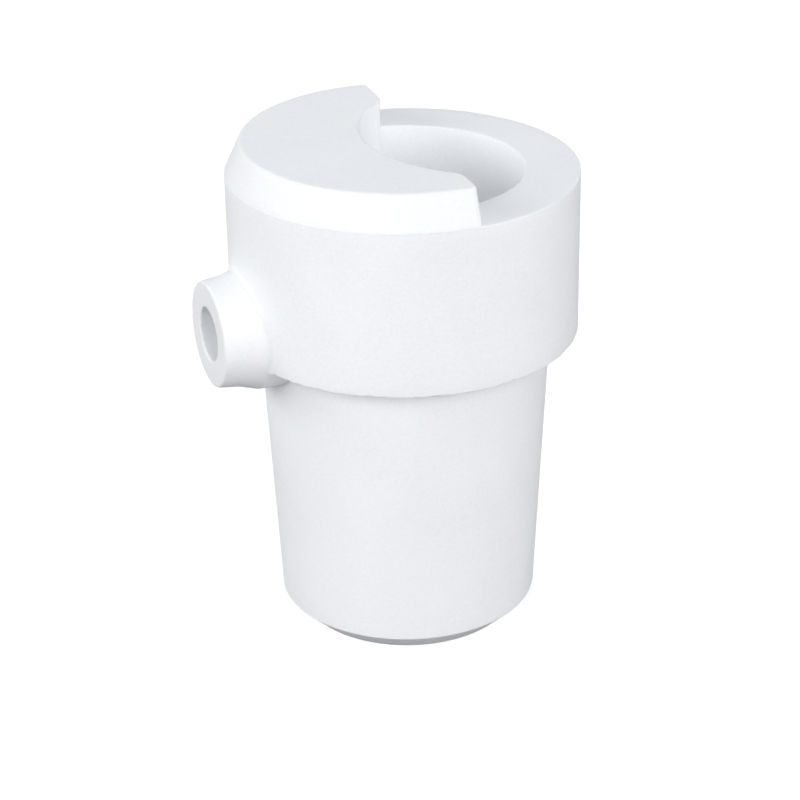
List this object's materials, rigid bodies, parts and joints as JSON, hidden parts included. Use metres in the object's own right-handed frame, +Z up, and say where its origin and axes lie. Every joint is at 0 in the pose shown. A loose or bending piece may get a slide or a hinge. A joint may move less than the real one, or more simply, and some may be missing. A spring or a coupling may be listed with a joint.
{
  "type": "buchner funnel",
  "caption": "Small vacuum filter funnel: a collar with a round pocket and a half-moon guard on a hollow ground cone, with a conical side suction port and a drain tube.",
  "frame": {"origin": "on the cone's axis at its large end, in the plane of the collar's underside", "axes": "+Z up along the cone's axis, out of the pocket; -X along the side port, outward; +Y completes a right-handed frame"},
  "size_m": [0.0448, 0.041, 0.0604],
  "materials": {
    "ground_cone": "matt turned white fluoropolymer",
    "head_collar": "matt turned white fluoropolymer",
    "half_moon_guard": "matt milled white fluoropolymer",
    "side_port": "smooth turned white fluoropolymer",
    "filter_plate": "matt drilled white fluoropolymer",
    "drain_tube": "smooth white fluoropolymer",
    "filter_paper": "soft unglazed filter paper",
    "seal": "off-white elastomer"
  },
  "bodies": {
    "funnel_body": {"ground_cone": "ground_cone", "head_collar": "head_collar", "seat_gasket": "seal", "side_port": "side_port", "port_seal": "seal", "drain_tube": "drain_tube", "drain_seal": "seal", "drain_nut": "drain_tube"},
    "filter_stack": {"filter_plate": "filter_plate", "filter_paper": "filter_paper"},
    "guard": {"half_moon_guard": "half_moon_guard"}
  },
  "joints": [
    {"name": "filter_lift", "type": "slide", "parent": "funnel_body", "child": "filter_stack", "axis": [0, 0, 1], "range_m": [0, 0.018]},
    {"name": "guard_lift", "type": "slide", "parent": "filter_stack", "child": "guard", "axis": [0, 0, 1], "range_m": [0, 0.014]}
  ]
}
